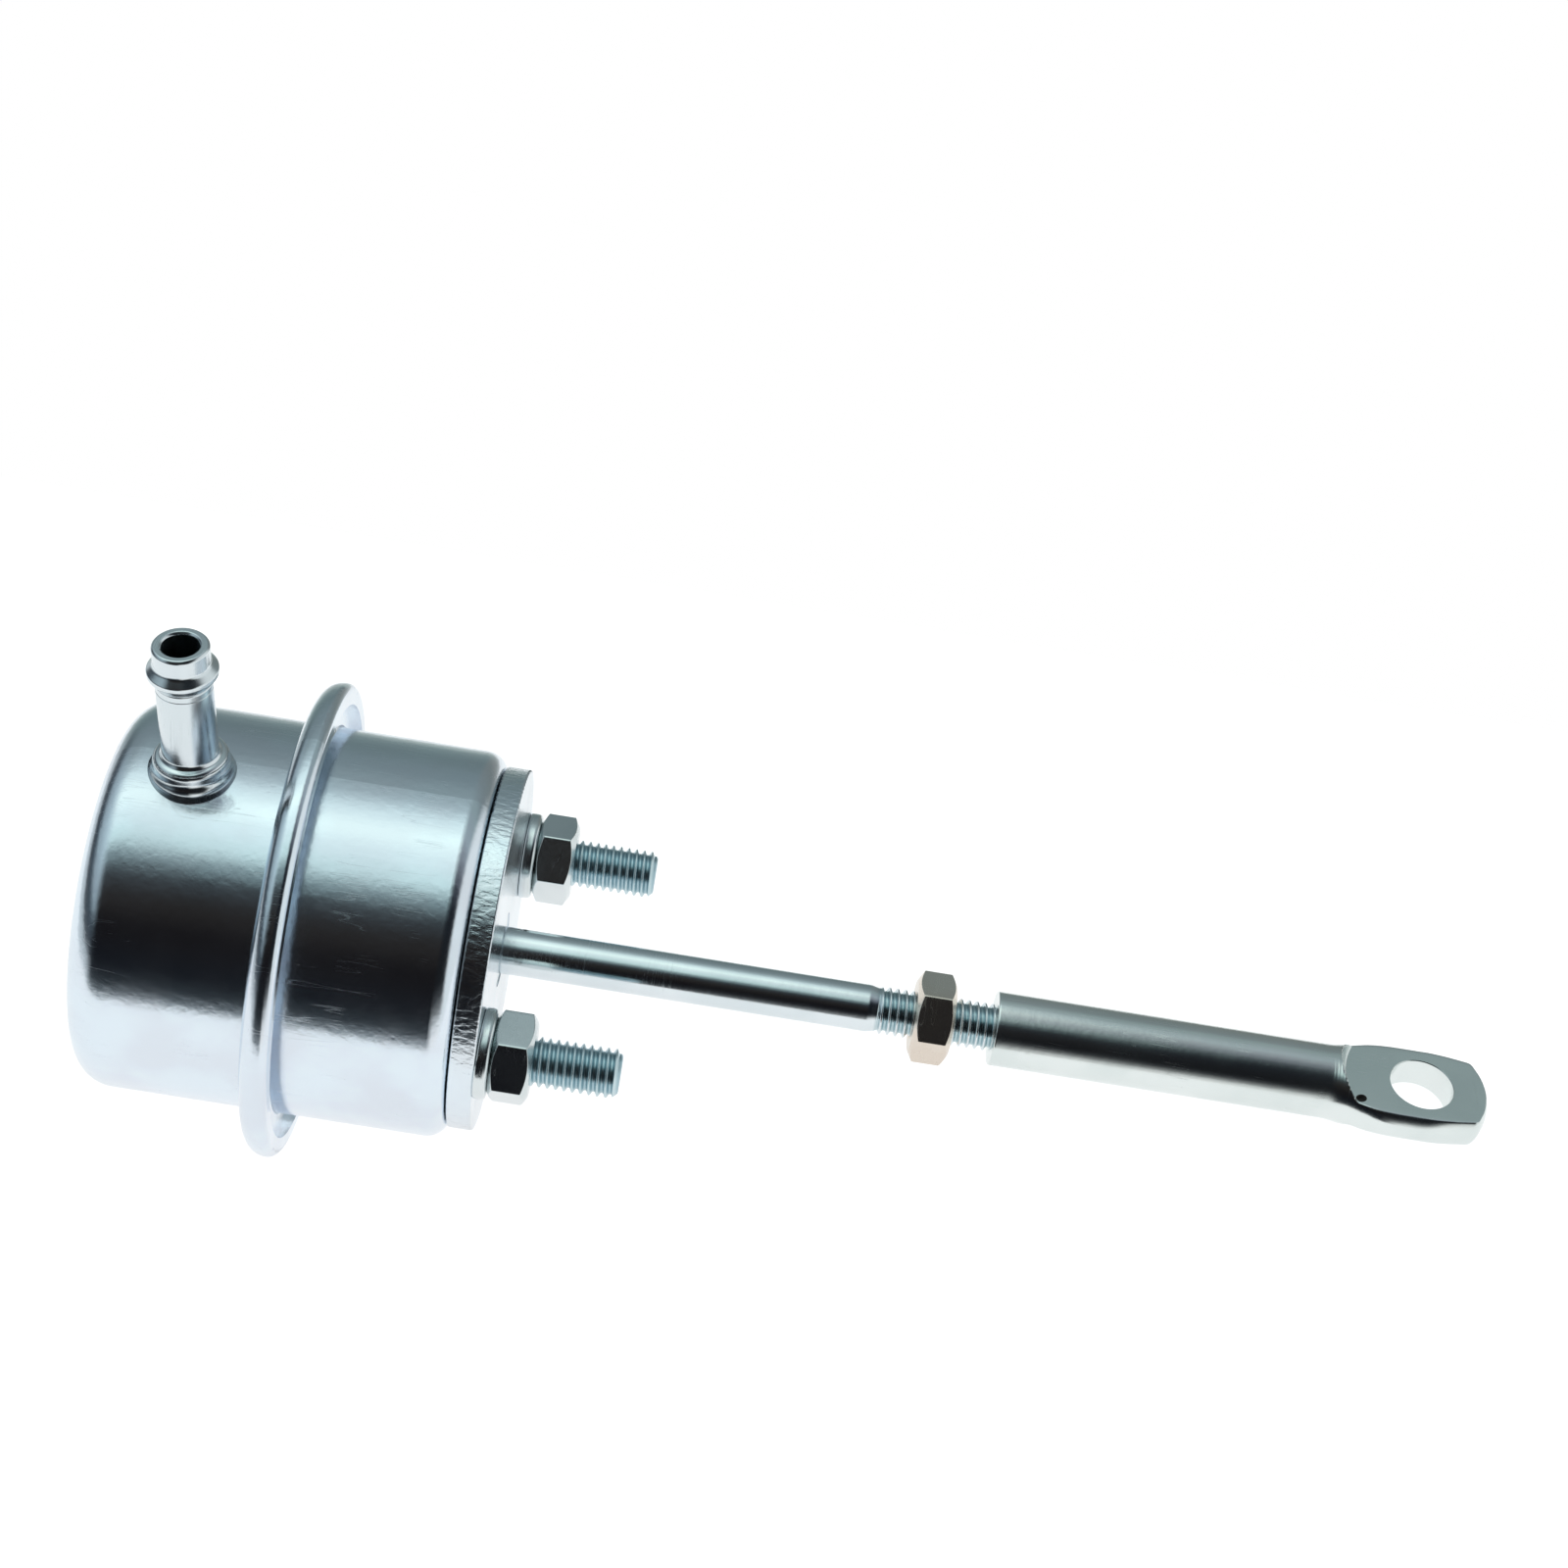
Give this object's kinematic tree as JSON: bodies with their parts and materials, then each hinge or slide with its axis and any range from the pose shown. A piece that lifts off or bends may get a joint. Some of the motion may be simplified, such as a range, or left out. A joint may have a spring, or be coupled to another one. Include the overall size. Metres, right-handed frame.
{
  "type": "wastegate actuator",
  "caption": "Diaphragm actuator: crimped steel can with a hose nipple and fixing studs, its spring-loaded push rod ends in an adjustable sleeve with a flat eye.",
  "frame": {"origin": "on the rod's axis at the front face of the mounting plate", "axes": "+X along the rod towards its eye, +Z towards the hose nipple's side, the two studs on +Y and -Y"},
  "size_m": [0.1726, 0.059, 0.0721],
  "materials": {
    "plated_sheet": "bright zinc plating on pressed sheet",
    "plated_turned": "bright zinc plating on turned steel",
    "plated_fastener": "bright zinc plating, threads slightly darker",
    "spring_steel": "drawn spring wire",
    "bush_bronze": "sintered bronze",
    "diaphragm_rubber": "matt moulded rubber"
  },
  "bodies": {
    "housing": {"rear_can": "plated_sheet", "front_can": "plated_sheet", "mounting_plate": "plated_sheet", "hose_nipple": "plated_turned", "stud_left": "plated_fastener", "stud_right": "plated_fastener", "washer_left": "plated_fastener", "washer_right": "plated_fastener", "nut_left": "plated_fastener", "nut_right": "plated_fastener", "spring_seat": "plated_sheet", "guide_bush": "bush_bronze", "bush_cap": "plated_sheet", "diaphragm": "diaphragm_rubber", "return_spring": "spring_steel"},
    "push_rod": {"actuator_rod": "plated_turned", "piston": "plated_sheet", "retainer_plate": "plated_sheet", "piston_washer": "plated_fastener"},
    "lock_nut": {"lock_nut": "plated_fastener"},
    "rod_end": {"rod_end": "plated_turned"}
  },
  "joints": [
    {"name": "rod_slide", "type": "slide", "parent": "housing", "child": "push_rod", "axis": [1, 0, 0], "range_m": [0, 0.012], "stiffness_N_per_m": 3700, "deforming": ["return_spring", "diaphragm"]},
    {"name": "lock_nut_turn", "type": "hinge", "parent": "push_rod", "child": "lock_nut", "pos_m": [0.05385, 0, 0], "axis": [1, 0, 0], "continuous": true},
    {"name": "rod_end_turn", "type": "hinge", "parent": "push_rod", "child": "rod_end", "pos_m": [0.083, 0, 0], "axis": [1, 0, 0], "continuous": true}
  ]
}
